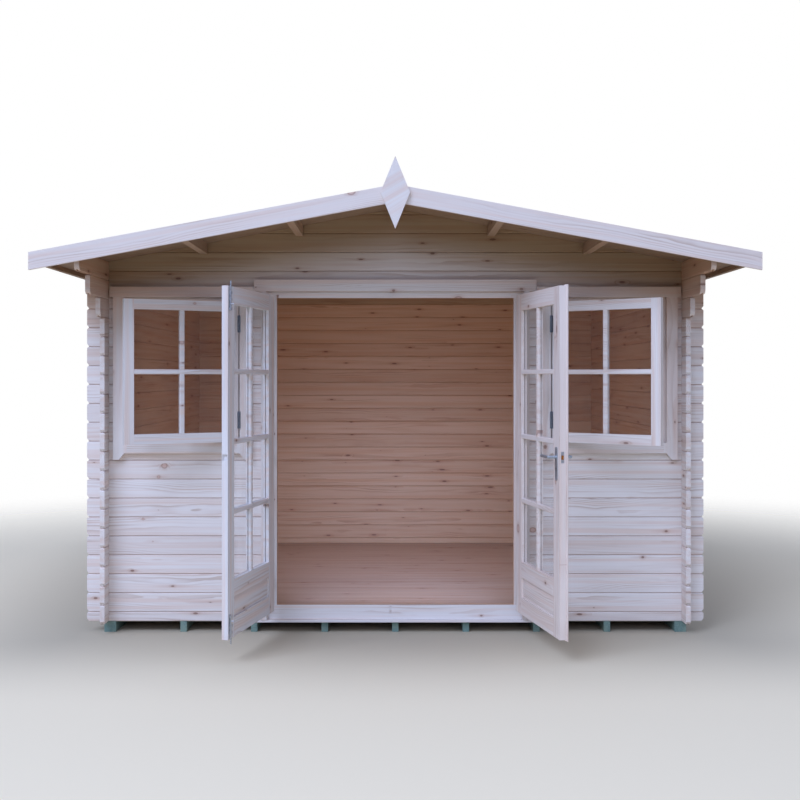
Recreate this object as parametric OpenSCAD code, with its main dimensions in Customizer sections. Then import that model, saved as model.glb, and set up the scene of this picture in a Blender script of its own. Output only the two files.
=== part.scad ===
// Log cabin with interlocking log walls, a low gable roof, glazed double doors and two casement windows.
// The origin lies on the ground under the middle of the walls, with the doors towards -Y. Millimetres.

/* [Walls] */
// Space between a window's boards and the outer face of the side wall
corner_room = 60; // [50:1:200]
// Depth over the outer faces of the front and back walls
wall_d = 3096; // [2600:1:3600]
// Least height of a side wall over the tops of the doors and windows
wall_head_room = 150; // [100:5:200]
// How far plain log ends run past the crossing wall
corner_overhang = 104; // [80:1:140]

/* [Logs] */
// Thickness of a log
log_t = 28; // [26:1:40]
// Height that one log adds to a wall
log_pitch = 114; // [110:1:120]
// Joint left between neighbouring pieces of timber
joint_gap = 0.3; // [0.2:0.05:0.5]
// Chamfer along the long edges of a log, which makes the V joint
vee = 5; // [3:0.5:7]
// Width of the tongue on top of a log
tongue_w = 10; // [8:0.5:12]
// Height of the tongue on top of a log
tongue_h = 8; // [6:0.5:10]
// Room around a tongue in its groove
tongue_room = 0.5; // [0.3:0.1:1]
// Length of the chamfer under a log end
end_low_len = 15; // [8:1:24]
// Height of the chamfer under a log end
end_low_h = 18; // [8:1:24]
// Chamfer over a log end
end_top = 8; // [4:1:14]
// Reach of the three top side logs past the front wall, from the lowest of them
corbel_reach = [198, 414, 630];
// Radius under the front end of those longer logs
corbel_r = 32; // [20:1:45]

/* [Base] */
// Height of the treated bearers
bearer_h = 63; // [45:1:80]
// Width of an inner bearer
bearer_w = 38; // [30:1:60]
// Distance between inner bearers
bearer_spacing = 425; // [380:1:440]
// Number of inner bearers each side of the middle one
bearer_pairs = 3; // [2:1:3]
// Width of a bearer under a side wall
edge_bearer_w = 70; // [50:1:90]
// Thickness of the floor boards
floor_t = 12; // [10:1:28]

/* [Roof] */
// Fall of the roof for each unit of run
roof_slope = 0.185; // [0.15:0.005:0.25]
// Height of the roof boards, measured upright
roof_t = 19; // [16:1:24]
// Reach of the roof boards past the front wall
front_eave = 655; // [640:1:760]
// Reach of the roof boards past the back wall
back_eave = 200; // [150:1:400]
// Reach of the roof boards past the side walls
side_eave = 228; // [180:1:300]
// Width of a purlin
purlin_w = 44; // [36:1:60]
// Depth of a purlin under the roof boards
purlin_h = 58; // [45:1:90]
// Distance between purlins
purlin_spacing = 577; // [500:1:640]
// Number of purlins each side of the ridge
purlin_pairs = 2; // [1:1:2]
// Thickness of a bargeboard
barge_t = 20; // [16:1:28]
// Height of a bargeboard, measured upright
barge_h = 96; // [80:1:140]
// Height of a bargeboard's top edge over the roof boards
barge_up = 11; // [5:1:20]
// Reach of a bargeboard's end past the roof boards
barge_side = 7; // [3:1:20]
// Width of the diamond over the front ridge
finial_w = 160; // [120:1:200]
// Height of the diamond
finial_h = 392; // [320:1:460]
// Thickness of the diamond
finial_t = 20; // [16:1:28]
// Depth of the diamond's middle below the ridge
finial_drop = 17; // [0:1:40]
// Width of the trim under an eave
trim_w = 18; // [14:1:28]
// Depth of the trim under an eave
trim_h = 27; // [20:1:45]

/* [Doorway] */
// Gap between the two shut door leaves
meeting_gap = 5; // [5:0.5:8]
// Gap between a shut leaf and its door post
hinge_gap = 10.5; // [10:0.5:14]
// Width of a door post
post_w = 40; // [35:1:55]
// How far a door post stands out of the wall
post_proud = 16; // [8:1:20]
// Width of the stop that a leaf shuts against
stop_w = 51; // [35:1:60]
// Gap between a shut leaf and its stop
stop_gap = 5; // [5:0.5:8]
// Depth of the frame behind the wall's outer face
frame_back = 45; // [38:1:60]
// How far the top of a leaf lies in front of the header
head_lap = 10; // [6:1:16]
// Height of the sill board's top over the wall's foot
sill_top = 98; // [90:1:110]
// Thickness of the threshold under the sill board
threshold_h = 13; // [10:1:20]
// How far the threshold stands out of the wall
threshold_proud = 30; // [20:1:32]
// How far the face board over the doorway runs past the inner edges of the hinge boards
door_casing_w = 74; // [60:1:90]
// Height of the face board over the doorway
head_casing_h = 69; // [55:1:85]
// How far the board over the doorway reaches below the log over it
head_casing_lap = 9.5; // [5:0.5:20]
// How far the face boards stand out of the wall
casing_proud = 34; // [28:1:36]
// Gap between a door post's inner face and the edge of its hinge board
casing_setback = 7; // [4:1:12]

/* [Door leaves] */
// Width of a leaf
leaf_w = 752; // [700:1:780]
// Height of a leaf
leaf_h = 1885; // [1850:1:1900]
// Thickness of a leaf
leaf_t = 34; // [32:1:40]
// Height of a leaf's foot over the wall's foot
leaf_foot = 73; // [70:1:80]
// Width of a stile
stile_w = 95; // [85:1:110]
// Height of the top rail
top_rail_h = 94; // [80:1:110]
// Height of the middle rail
mid_rail_h = 93; // [80:1:110]
// Height of the bottom rail
bottom_rail_h = 103; // [90:1:120]
// Height of the opening for the wooden panel
panel_h = 112; // [90:1:160]
// Thickness of the raised middle of the panel
panel_t = 24; // [20:1:28]
// Thickness of the panel's edge
panel_edge = 10; // [8:1:12]
// Width of the bevel round the panel
panel_bevel = 26; // [18:1:34]
// Number of rows of panes in a leaf
pane_rows = 4; // [3:1:5]
// Open angle of the left leaf at rest
left_open = 102.7; // [90:0.1:120]
// Open angle of the right leaf at rest
right_open = 101.4; // [90:0.1:120]

/* [Glazing] */
// Thickness of the glass
glass_t = 4; // [3:0.5:6]
// Depth of the groove that holds glass or a panel
groove = 9; // [6:1:12]
// Width of a glazing bar
bar_w = 28; // [18:1:34]
// Width of a glazing bar's outer face, inside its chamfers
bar_face = 20; // [8:1:24]
// How far a door's panes lie from the middle of its thickness, towards the outer face
glass_set = 4; // [0:0.5:5]

/* [Windows] */
// Space between the boards round a window and those beside the doorway
window_room = 22; // [21:1:150]
// Width of a sash
sash_w = 684; // [660:1:690]
// Height of a sash
sash_h = 837; // [780:1:845]
// Thickness of a sash
sash_t = 34; // [30:1:40]
// Height of a sash's foot over the wall's foot
sash_foot = 1083; // [1080:1:1100]
// Width of a sash's members
sash_member = 58; // [50:1:70]
// Gap between a shut sash and the boards round it
sash_gap = 5; // [4:0.5:8]
// Distance of a window hinge's middle from the sash's foot or head
sash_hinge_inset = 131; // [90:1:180]
// Height of a window hinge's plates
sash_hinge_h = 100; // [60:1:120]
// Reach of a window hinge's plates past the gap beside the sash
sash_hinge_w = 5; // [4:1:40]
// How far a shut sash lies in front of its frame
sash_lap = 25; // [15:1:30]
// Width of the frame behind the sash
window_frame_w = 58; // [50:1:65]
// Width of the upright boards round a window
window_casing_w = 65; // [55:1:70]
// Height of the board over a window
window_head_h = 62; // [55:1:80]
// Gap between a shut sash and the board over it
window_head_gap = 30; // [5:1:36]
// Reach of the board over a window past the upright boards
window_head_side = 20; // [5:1:20]
// Height of the board under a window
window_sill_h = 64; // [50:1:80]
// Reach of the upright boards below the board under the window
casing_foot = 39; // [25:1:50]
// Corner cut from the foot of an upright board
casing_cut = 30; // [15:1:40]
// Angle at which the left sash stands ajar
left_ajar = 27; // [10:0.5:40]
// Angle at which the right sash stands ajar
right_ajar = 36; // [10:0.5:40]

/* [Door hardware] */
// Radius of a hinge barrel
barrel_r = 5.5; // [5:0.1:5.8]
// Length of half a hinge barrel
barrel_len = 32; // [25:1:45]
// Radius of a hinge pin
pin_r = 3; // [2.5:0.1:3.5]
// Radial room round a hinge pin
pin_room = 0.05; // [0.02:0.01:0.1]
// Distance of the hinge line from a shut leaf's edge
axis_side = 5.5; // [5.5:0.1:6.5]
// Distance of the hinge line in front of a shut leaf
axis_front = 4; // [4:0.1:6]
// Thickness of hinge plates
plate_t = 2.5; // [2:0.1:3.5]
// Distance of the end hinges from a leaf's top and foot
hinge_inset = 190; // [150:1:260]
// Radius of a bolt's rod
rod_r = 4.5; // [4:0.1:6]
// How far a bolt's rod stands out of the leaf's end
rod_reach = 27; // [20:1:32]
// Length of a bolt's backplate
bolt_plate_h = 100; // [80:1:130]
// Width of a bolt's backplate
bolt_plate_w = 24; // [20:1:30]
// Distance of a bolt from the leaf's free edge
bolt_inset = 26; // [20:1:40]
// Room round a rod in its keep slot
keep_room = 2; // [1:0.5:4]
// Height of the handles over the wall's foot
handle_z = 1043; // [1000:1:1100]
// Distance of the handles from the free edge
handle_inset = 48; // [40:1:55]
// Length of a handle's backplate
handle_plate_h = 180; // [150:1:220]
// Width of a handle's backplate
handle_plate_w = 36; // [30:1:44]
// Reach of a lever out of the leaf
lever_out = 46; // [38:1:60]
// Length of a lever
lever_len = 112; // [95:1:130]
// Radius of a lever
lever_r = 8; // [6:0.5:10]
// Height of the lock's edge plate
lock_plate_h = 60; // [50:1:200]
// Width of the lock's edge plate
lock_plate_w = 18; // [16:1:22]
// How far the latch stands out of the edge
latch_out = 6; // [4:0.5:8]
// Height of the latch
latch_h = 22; // [16:1:28]
// Clearance round the latch in the other leaf
latch_room = 5; // [5:0.5:6]
// Width of the cover strip on the right leaf
strip_w = 42; // [34:1:50]
// Thickness of the cover strip
strip_t = 11; // [10:1:20]
// Reach of the cover strip past the leaf's free edge
strip_lap = 14; // [10:1:18]
// Gap between the cover strip and the left leaf
strip_gap = 5.2; // [5:0.1:6]

/* [Hidden] */
$fn = 48;

pine = "#c9c2c0";
shaded_pine = "#a8805f";
treated = "#5f7f78";
glass = "#c8d8dcaa";
steel = "#8d9296";
brass = "#a8762f";

front_y = -wall_d / 2;
back_y = wall_d / 2;
base_z = bearer_h;
leaf_edge_x = meeting_gap / 2 + leaf_w;
post_in = leaf_edge_x + hinge_gap;
door_casing_in = post_in + casing_setback;
door_casing_out = door_casing_in + door_casing_w;
window_side = sash_w / 2 + sash_gap + window_casing_w;
window_x = door_casing_out + window_room + window_side;
side_out = window_x + window_side + corner_room;
side_in = side_out - log_t;
log_half = side_out + corner_overhang;
half_log = log_pitch / 2;
quarter = log_pitch / 4;
opening_top = max(leaf_foot + leaf_h, sash_foot + sash_h);
side_courses = ceil((opening_top + wall_head_room) / log_pitch);
side_top = base_z + side_courses * log_pitch;
ridge_z = side_top + roof_slope * side_in;
eave_x = side_out + side_eave;
roof_front = front_y - front_eave;
roof_back = back_y + back_eave;
barge_x = eave_x + barge_side;

// Course numbers of the front and back walls: 0 is the half log at the foot.
function course_z(k) = base_z + (k == 0 ? 0 : half_log + (k - 1) * log_pitch);
function course_h(k) = k == 0 ? half_log : log_pitch;
function course_over(z) = ceil((z - base_z - half_log) / log_pitch) + 1;
function roof_z(x) = ridge_z - roof_slope * abs(x);
gable_courses = course_over(ridge_z);
eaves_course = side_courses;

post_out = post_in + post_w;
stop_in = post_in - stop_w;
axis_x = leaf_edge_x + axis_side;
axis_y = front_y - leaf_t - axis_front;
leaf_top = leaf_foot + leaf_h;
header_z = base_z + leaf_top - head_lap;
door_head_course = course_over(base_z + leaf_top + rod_reach + latch_room);
door_top = course_z(door_head_course);
head_casing_z = door_top - head_casing_lap;
leaf_out_y = axis_front;
leaf_in_y = axis_front + leaf_t;
free_x = -axis_side - leaf_w;
pane_low = bottom_rail_h + panel_h + mid_rail_h;
pane_high = leaf_h - top_rail_h;
hinge_levels = [hinge_inset, leaf_h / 2, leaf_h - hinge_inset];

sash_axis_front = 5;
sash_in_x = window_x - sash_w / 2;
sash_out_x = window_x + sash_w / 2;
sash_top = sash_foot + sash_h;
window_in = sash_in_x + sash_lap - window_frame_w;
window_out = sash_out_x - sash_lap + window_frame_w;
window_low = base_z + sash_foot + sash_lap - window_frame_w;
window_high = course_z(course_over(base_z + sash_top + sash_gap));
sash_axis_x = sash_in_x - sash_gap / 2;
sash_axis_y = front_y - sash_t - sash_axis_front;
window_casing_in = sash_in_x - sash_gap;
window_casing_out = sash_out_x + sash_gap;
window_head_z = base_z + sash_top + window_head_gap;
window_sill_z = base_z + sash_foot - sash_gap;

// Extrusions of a flat outline: through the front wall's thickness, or along a side wall's normal.
module along_y(y0, y1) {
    translate([0, y1, 0])
        rotate([90, 0, 0])
            linear_extrude(y1 - y0)
                children();
}

module along_x(x0, x1) {
    translate([x0, 0, 0])
        rotate([90, 0, 90])
            linear_extrude(x1 - x0)
                children();
}

module along_z(z0, z1) {
    translate([0, 0, z0])
        linear_extrude(z1 - z0)
            children();
}

module block(low, high) {
    translate(low)
        cube(high - low);
}

module both_sides() {
    children();
    mirror([1, 0, 0])
        children();
}

// Section of a log of height h: outer face at x = 0, V chamfers, tongue above and groove below.
module log_section(h) {
    top = h - joint_gap;
    mid = log_t / 2;
    tongue = tongue_w / 2;
    slot = tongue + tongue_room;
    slot_h = tongue_h + tongue_room;
    polygon([
        [vee, 0], [0, vee], [0, top - vee], [vee, top],
        [mid - tongue, top], [mid - tongue + 1, top + tongue_h],
        [mid + tongue - 1, top + tongue_h], [mid + tongue, top],
        [log_t - vee, top], [log_t, top - vee], [log_t, vee], [log_t - vee, 0],
        [mid + slot, 0], [mid + slot - 1, slot_h], [mid - slot + 1, slot_h], [mid - slot, 0]
    ]);
}

// Side view of a log from a to b, with chamfered ends and room for the tongue.
module log_side(a, b, z, h) {
    top = z + h;
    polygon([
        [a + end_low_len, z], [a, z + end_low_h], [a, top - end_top], [a + end_top, top],
        [a + end_top, top + tongue_h], [b - end_top, top + tongue_h],
        [b - end_top, top], [b, top - end_top], [b, z + end_low_h], [b - end_low_len, z]
    ]);
}

module under_roof() {
    far = eave_x + side_eave;
    polygon([
        [-far, 0], [-far, roof_z(far) - joint_gap], [0, ridge_z - joint_gap],
        [far, roof_z(far) - joint_gap], [far, 0]
    ]);
}

// Notches over and under a log where another wall's logs cross it, between a and b.
module crossing_notches(a, b, z, h, foot) {
    wide = b - a + 2 * joint_gap;
    if (!foot)
        translate([a - joint_gap, z - quarter])
            square([wide, 2 * quarter + joint_gap / 2]);
    translate([a - joint_gap, z + h - quarter - joint_gap / 2])
        square([wide, 2 * quarter]);
}

module purlin_places(room) {
    wide = purlin_w + 2 * room;
    for (i = [-purlin_pairs : purlin_pairs]) {
        x = i * purlin_spacing;
        translate([x - wide / 2, roof_z(x) - purlin_h - room])
            square([wide, 2 * purlin_h]);
    }
}

module front_openings() {
    translate([-post_out - joint_gap, base_z - 1])
        square([2 * (post_out + joint_gap), door_top - base_z + 1]);
    both_sides()
        translate([window_in - joint_gap, window_low - joint_gap])
            square([window_out - window_in + 2 * joint_gap, window_high - window_low + joint_gap]);
}

// One course of the front or back wall, kept between x0 and x1.
module cross_log(k, y, x0, x1, openings) {
    z = course_z(k);
    h = course_h(k);
    intersection() {
        along_x(x0, x1)
            translate([y, z])
                log_section(h);
        along_y(y, y + log_t)
            difference() {
                intersection() {
                    log_side(-log_half, log_half, z, h);
                    under_roof();
                }
                if (k <= eaves_course)
                    both_sides()
                        crossing_notches(side_in, side_out, z, h, k == 0);
                if (k >= eaves_course)
                    purlin_places(joint_gap);
                if (openings && z < max(door_top, window_high))
                    front_openings();
            }
    }
}

module side_wall() {
    for (j = [0 : side_courses - 1]) {
        z = base_z + j * log_pitch;
        corbel = j - side_courses + len(corbel_reach);
        front_end = front_y - (corbel < 0 ? corner_overhang : corbel_reach[corbel]);
        back_end = back_y + corner_overhang;
        intersection() {
            along_y(front_end, back_end)
                intersection() {
                    translate([side_in, z])
                        log_section(log_pitch);
                    under_roof();
                }
            along_x(side_in, side_out)
                difference() {
                    log_side(front_end, back_end, z, log_pitch);
                    crossing_notches(front_y, front_y + log_t, z, log_pitch, false);
                    crossing_notches(back_y - log_t, back_y, z, log_pitch, false);
                    if (corbel >= 0)
                        difference() {
                            translate([front_end, z])
                                square(corbel_r);
                            translate([front_end + corbel_r, z + corbel_r])
                                circle(corbel_r);
                        }
                }
        }
    }
}

module floor_bearers() {
    color(treated)
        for (i = [-bearer_pairs : bearer_pairs])
            translate([i * bearer_spacing, 0, 0])
                block([-bearer_w / 2, front_y, 0], [bearer_w / 2, back_y, bearer_h]);
}

module edge_bearers() {
    color(treated)
        both_sides()
            block([side_out - edge_bearer_w, front_y, 0], [side_out, back_y, bearer_h]);
}

module floor_boards() {
    far = side_in - joint_gap;
    inset = log_t + joint_gap;
    color(shaded_pine)
        difference() {
            block([-far, front_y + inset, base_z], [far, back_y - inset, base_z + floor_t]);
            block(
                [-post_out - joint_gap, front_y, base_z - 1],
                [post_out + joint_gap, front_y + frame_back + joint_gap, base_z + floor_t + 1]
            );
        }
}

module front_wall_right() {
    color(pine)
        for (k = [0 : door_head_course - 1])
            cross_log(k, front_y, 0, log_half, true);
}

module front_wall_left() {
    color(pine)
        for (k = [0 : door_head_course - 1])
            cross_log(k, front_y, -log_half, 0, true);
}

module front_gable() {
    color(shaded_pine)
        for (k = [door_head_course : gable_courses - 1])
            cross_log(k, front_y, -log_half, log_half, true);
}

module back_wall() {
    color(pine)
        for (k = [0 : eaves_course - 1])
            cross_log(k, back_y - log_t, -log_half, log_half, false);
}

module back_gable() {
    color(shaded_pine)
        for (k = [eaves_course : gable_courses - 1])
            cross_log(k, back_y - log_t, -log_half, log_half, false);
}

module right_wall() {
    color(pine)
        side_wall();
}

module left_wall() {
    color(pine)
        mirror([1, 0, 0])
            side_wall();
}

// Purlins lie in slots in the gables, bevelled to the roof, and end behind the bargeboards.
module purlins() {
    color(shaded_pine)
        along_y(roof_front, roof_back)
            intersection() {
                purlin_places(0);
                under_roof();
            }
}

// A band that follows the right slope of the roof from x0 to x1, between two heights over its underside.
module slope_band(x0, x1, low, high) {
    polygon([
        [x0, roof_z(x0) + low], [x1, roof_z(x1) + low],
        [x1, roof_z(x1) + high], [x0, roof_z(x0) + high]
    ]);
}

module right_roof() {
    color(pine)
        along_y(roof_front, roof_back)
            slope_band(joint_gap / 2, eave_x, 0, roof_t);
}

module left_roof() {
    mirror([1, 0, 0])
        right_roof();
}

module eaves_trims() {
    color(pine)
        both_sides()
            along_y(roof_front, roof_back)
                slope_band(eave_x - trim_w, eave_x, -trim_h, -joint_gap);
}

module bargeboards(y0, y1) {
    top = roof_t + barge_up;
    color(pine)
        both_sides()
            along_y(y0, y1)
                slope_band(joint_gap / 2, barge_x, top - barge_h, top);
}

barge_front = roof_front - joint_gap - barge_t;
barge_back = roof_back + joint_gap;

module front_bargeboards() {
    bargeboards(barge_front, barge_front + barge_t);
}

module back_bargeboards() {
    bargeboards(barge_back, barge_back + barge_t);
}

module finial() {
    mid = ridge_z - finial_drop;
    color(pine)
        along_y(barge_front - joint_gap - finial_t, barge_front - joint_gap)
            polygon([
                [-finial_w / 2, mid], [0, mid - finial_h / 2],
                [finial_w / 2, mid], [0, mid + finial_h / 2]
            ]);
}

rod_x = meeting_gap / 2 + bolt_inset;
rod_stand = joint_gap + plate_t + rod_r * 0.8;
rod_y = front_y + rod_stand;

// Slots at the middle of the header and sill that take the bolts' rods when the left leaf is shut.
module keep_slot(z0, z1) {
    wide = rod_r + keep_room;
    block([-rod_x - wide, front_y, z0], [-rod_x + wide, rod_y + wide, z1]);
}

module door_frame() {
    back = front_y + frame_back;
    face = front_y + stop_gap;
    color(pine) {
        both_sides() {
            block([post_in, front_y - post_proud, base_z], [post_out, back, door_top - joint_gap]);
            block(
                [stop_in, face, base_z + sill_top + joint_gap],
                [post_in - joint_gap, back, header_z - joint_gap]
            );
        }
        difference() {
            block(
                [joint_gap - post_in, face, header_z],
                [post_in - joint_gap, back, door_top - joint_gap]
            );
            keep_slot(header_z - 1, base_z + leaf_top + rod_reach + keep_room);
        }
    }
}

module door_sill() {
    color(pine)
        difference() {
            block(
                [joint_gap - post_in, front_y + stop_gap, base_z + threshold_h + joint_gap],
                [post_in - joint_gap, front_y + frame_back, base_z + sill_top]
            );
            keep_slot(base_z + leaf_foot - rod_reach - keep_room, base_z + sill_top + 1);
        }
}

module door_threshold() {
    inner = post_in - joint_gap;
    color(pine)
        along_z(base_z, base_z + threshold_h)
            difference() {
                translate([-door_casing_out, front_y - threshold_proud])
                    square([2 * door_casing_out, threshold_proud + frame_back]);
                both_sides()
                    translate([inner, front_y - post_proud - joint_gap])
                        square([door_casing_out, post_proud + frame_back + 1]);
            }
}

// A hinge board lies on the face of each post, and a wider face board on the log over the doorway.
module door_casing() {
    lap = post_out + joint_gap;
    head_low = head_casing_z;
    foot = base_z + threshold_h + joint_gap;
    color(pine) {
        both_sides()
            along_z(foot, head_low - joint_gap)
                translate([door_casing_in, front_y - casing_proud])
                    square([post_out - door_casing_in, casing_proud - post_proud - joint_gap]);
        difference() {
            block(
                [-door_casing_out, front_y - casing_proud, head_low],
                [door_casing_out, front_y - joint_gap, head_low + head_casing_h]
            );
            both_sides()
                block(
                    [post_in - joint_gap, front_y - post_proud - joint_gap, head_low - 1],
                    [lap, front_y, door_top]
                );
        }
    }
}

// Puts a leaf, drawn shut with its hinge line at the origin and its body towards -X, in its place.
module at_right_hinge() {
    translate([axis_x, axis_y, base_z + leaf_foot])
        rotate([0, 0, right_open])
            children();
}

module at_left_hinge() {
    mirror([1, 0, 0])
        translate([axis_x, axis_y, base_z + leaf_foot])
            rotate([0, 0, left_open])
                children();
}

// A glazing bar's section: w across, from y0 at the glass to y1 at the face, with chamfers towards the face.
module bar_section(y0, y1) {
    run = (bar_w - bar_face) / 2;
    rise = (y1 - y0) / 4;
    polygon([
        [-bar_w / 2, y0], [bar_w / 2, y0], [bar_w / 2, y1 - rise],
        [bar_w / 2 - run, y1], [run - bar_w / 2, y1], [-bar_w / 2, y1 - rise]
    ]);
}

// Bars on one side of the glass over an opening from [x0, z0] to [x1, z1], facing y1.
module bar_lattice(x0, x1, z0, z1, y0, y1, rows) {
    step = (z1 - z0 - (rows - 1) * bar_w) / rows + bar_w;
    along_z(z0 + joint_gap, z1 - joint_gap)
        translate([(x0 + x1) / 2, 0])
            bar_section(y0, y1);
    for (i = [1 : rows - 1])
        translate([0, 0, z0 + i * step - bar_w / 2])
            along_x(x0 + joint_gap, x1 - joint_gap)
                rotate(90)
                    mirror([0, 1])
                        bar_section(y0, y1);
}

module both_lattices(x0, x1, z0, z1, y0, y1, mid, rows) {
    glass_half = glass_t / 2 + joint_gap;
    bar_inset = 1;
    bar_lattice(x0, x1, z0, z1, mid - glass_half, y0 + bar_inset, rows);
    bar_lattice(x0, x1, z0, z1, mid + glass_half, y1 - bar_inset, rows);
}

leaf_pane_x0 = free_x + stile_w;
leaf_pane_x1 = -axis_side - stile_w;
latch_z = handle_z - leaf_foot;
leaf_mid_y = (leaf_out_y + leaf_in_y) / 2;
leaf_glass_y = leaf_mid_y - glass_set;

module leaf_grooves() {
    g = groove + joint_gap;
    glass_half = glass_t / 2 + joint_gap;
    edge_half = panel_edge / 2 + joint_gap;
    block(
        [leaf_pane_x0 - g, leaf_glass_y - glass_half, pane_low - g],
        [leaf_pane_x1 + g, leaf_glass_y + glass_half, pane_high + g]
    );
    block(
        [leaf_pane_x0 - g, leaf_mid_y - edge_half, bottom_rail_h - g],
        [leaf_pane_x1 + g, leaf_mid_y + edge_half, bottom_rail_h + panel_h + g]
    );
}

// Two stiles and three rails, grooved for the glass and the panel, with glazing bars on both faces.
module leaf_timber() {
    difference() {
        union() {
            block([free_x, leaf_out_y, 0], [leaf_pane_x0, leaf_in_y, leaf_h]);
            block([leaf_pane_x1, leaf_out_y, 0], [-axis_side, leaf_in_y, leaf_h]);
            for (span = [[0, bottom_rail_h], [pane_low - mid_rail_h, pane_low], [pane_high, leaf_h]])
                block(
                    [leaf_pane_x0 + joint_gap, leaf_out_y, span[0]],
                    [leaf_pane_x1 - joint_gap, leaf_in_y, span[1]]
                );
        }
        leaf_grooves();
    }
    both_lattices(
        leaf_pane_x0, leaf_pane_x1, pane_low, pane_high, leaf_out_y, leaf_in_y, leaf_glass_y, pane_rows
    );
}

module leaf_glass() {
    color(glass)
        block(
            [leaf_pane_x0 - groove, leaf_glass_y - glass_t / 2, pane_low - groove],
            [leaf_pane_x1 + groove, leaf_glass_y + glass_t / 2, pane_high + groove]
        );
}

// Outline across a fielded panel from a to b: thin edges in the groove, a bevel and a thick middle.
module panel_section(a, b) {
    edge = panel_edge / 2;
    full = panel_t / 2;
    polygon([
        [a - groove, -edge], [a, -edge], [a + panel_bevel, -full], [b - panel_bevel, -full],
        [b, -edge], [b + groove, -edge], [b + groove, edge], [b, edge],
        [b - panel_bevel, full], [a + panel_bevel, full], [a, edge], [a - groove, edge]
    ]);
}

module leaf_panel() {
    low = bottom_rail_h;
    high = bottom_rail_h + panel_h;
    color(pine)
        translate([0, leaf_mid_y, 0])
            intersection() {
                along_z(low - groove, high + groove)
                    panel_section(leaf_pane_x0, leaf_pane_x1);
                along_x(leaf_pane_x0 - groove, leaf_pane_x1 + groove)
                    rotate(90)
                        mirror([0, 1])
                            panel_section(low, high);
            }
}

// Lift-off hinges: a barrel and pin on the frame, and a bored barrel over it on the leaf.
module frame_hinges() {
    plate_x = door_casing_in - joint_gap - axis_x;
    plate_y = leaf_out_y;
    plate_wide = casing_proud - post_proud;
    arm = [plate_x - plate_t / 2, plate_y + plate_t / 2];
    color(steel)
        translate([axis_x, axis_y, base_z + leaf_foot])
            for (z = hinge_levels)
                translate([0, 0, z - barrel_len]) {
                    cylinder(r = barrel_r, h = barrel_len);
                    cylinder(r = pin_r, h = 2 * barrel_len - plate_t);
                    block([plate_x - plate_t, plate_y, 0], [plate_x, plate_y + plate_wide, barrel_len]);
                    rotate([0, 0, atan2(arm[1], arm[0])])
                        block([0, -plate_t / 2, 0], [norm(arm), plate_t / 2, barrel_len]);
                }
}

module leaf_hinges() {
    plate_x = joint_gap - axis_side;
    color(steel)
        for (z = hinge_levels)
            translate([0, 0, z + joint_gap])
                difference() {
                    union() {
                        cylinder(r = barrel_r, h = barrel_len);
                        block(
                            [plate_x, axis_front / 2, 0],
                            [plate_x + plate_t, leaf_in_y - leaf_t / 4, barrel_len]
                        );
                    }
                    translate([0, 0, -1])
                        cylinder(r = pin_r + pin_room, h = barrel_len);
                }
}

// A bolt with its rod shot, drawn for the top of the leaf with the leaf's end at z = 0.
module tower_bolt() {
    x = free_x + bolt_inset;
    y = leaf_in_y + joint_gap;
    rod_mid = leaf_in_y + rod_stand;
    plate_high = -max(head_lap, sill_top - leaf_foot) - stop_gap;
    plate_low = plate_high - bolt_plate_h;
    guide = rod_r + plate_t;
    block([x - bolt_plate_w / 2, y, plate_low], [x + bolt_plate_w / 2, y + plate_t, plate_high]);
    translate([x, rod_mid, plate_low])
        cylinder(r = rod_r, h = rod_reach - plate_low);
    for (z = [plate_low, plate_low + bolt_plate_h / 2, plate_high - 2 * guide])
        block([x - guide, y, z], [x + guide, rod_mid + guide, z + 2 * guide]);
    translate([x, rod_mid, plate_low + bolt_plate_h / 3])
        rotate([-90, 0, 0])
            cylinder(r = rod_r * 0.8, h = rod_r * 4);
}

module leaf_bolts() {
    color(steel) {
        translate([0, 0, leaf_h])
            tower_bolt();
        mirror([0, 0, 1])
            tower_bolt();
    }
}

// A lever handle on its backplate, drawn on a face at y = 0 and standing out towards +Y.
module lever_handle() {
    plate_low = -handle_plate_h * 0.7;
    half = handle_plate_w / 2;
    translate([0, joint_gap, 0]) {
        along_y(0, plate_t) {
            translate([-half, plate_low + half])
                square([handle_plate_w, handle_plate_h - handle_plate_w]);
            for (z = [plate_low + half, plate_low + handle_plate_h - half])
                translate([0, z])
                    circle(half);
        }
        rotate([-90, 0, 0])
            cylinder(r = lever_r + plate_t, h = plate_t * 3);
        rotate([-90, 0, 0])
            cylinder(r = lever_r, h = lever_out);
        translate([0, lever_out, 0])
            sphere(lever_r);
        translate([0, lever_out, 0])
            rotate([0, 90, 0])
                cylinder(r = lever_r, h = lever_len);
        translate([lever_len, lever_out, 0])
            sphere(lever_r);
    }
}

module leaf_handles() {
    x = free_x + handle_inset;
    color(steel) {
        translate([x, leaf_in_y, latch_z])
            lever_handle();
        translate([x, leaf_out_y, latch_z])
            mirror([0, 1, 0])
                lever_handle();
    }
}

module lock_recess(room) {
    half = lock_plate_w / 2 + room;
    tall = lock_plate_h / 2 + room;
    block(
        [free_x - 1, leaf_mid_y - half, latch_z - tall],
        [free_x + plate_t + room, leaf_mid_y + half, latch_z + tall]
    );
}

module leaf_lock() {
    half = lock_plate_w / 2;
    nose = half * 0.7;
    color(brass) {
        block(
            [free_x, leaf_mid_y - half, latch_z - lock_plate_h / 2],
            [free_x + plate_t, leaf_mid_y + half, latch_z + lock_plate_h / 2]
        );
        along_z(latch_z - latch_h / 2, latch_z + latch_h / 2)
            polygon([
                [free_x + plate_t, leaf_mid_y - nose], [free_x + plate_t, leaf_mid_y + nose],
                [free_x - latch_out, leaf_mid_y + nose], [free_x, leaf_mid_y - nose]
            ]);
    }
}

module latch_pocket() {
    half = lock_plate_w / 2 + latch_room;
    tall = latch_h / 2 + latch_room;
    block(
        [free_x - 1, leaf_mid_y - half, latch_z - tall],
        [free_x + latch_out + latch_room, leaf_mid_y + half, latch_z + tall]
    );
}

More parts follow.
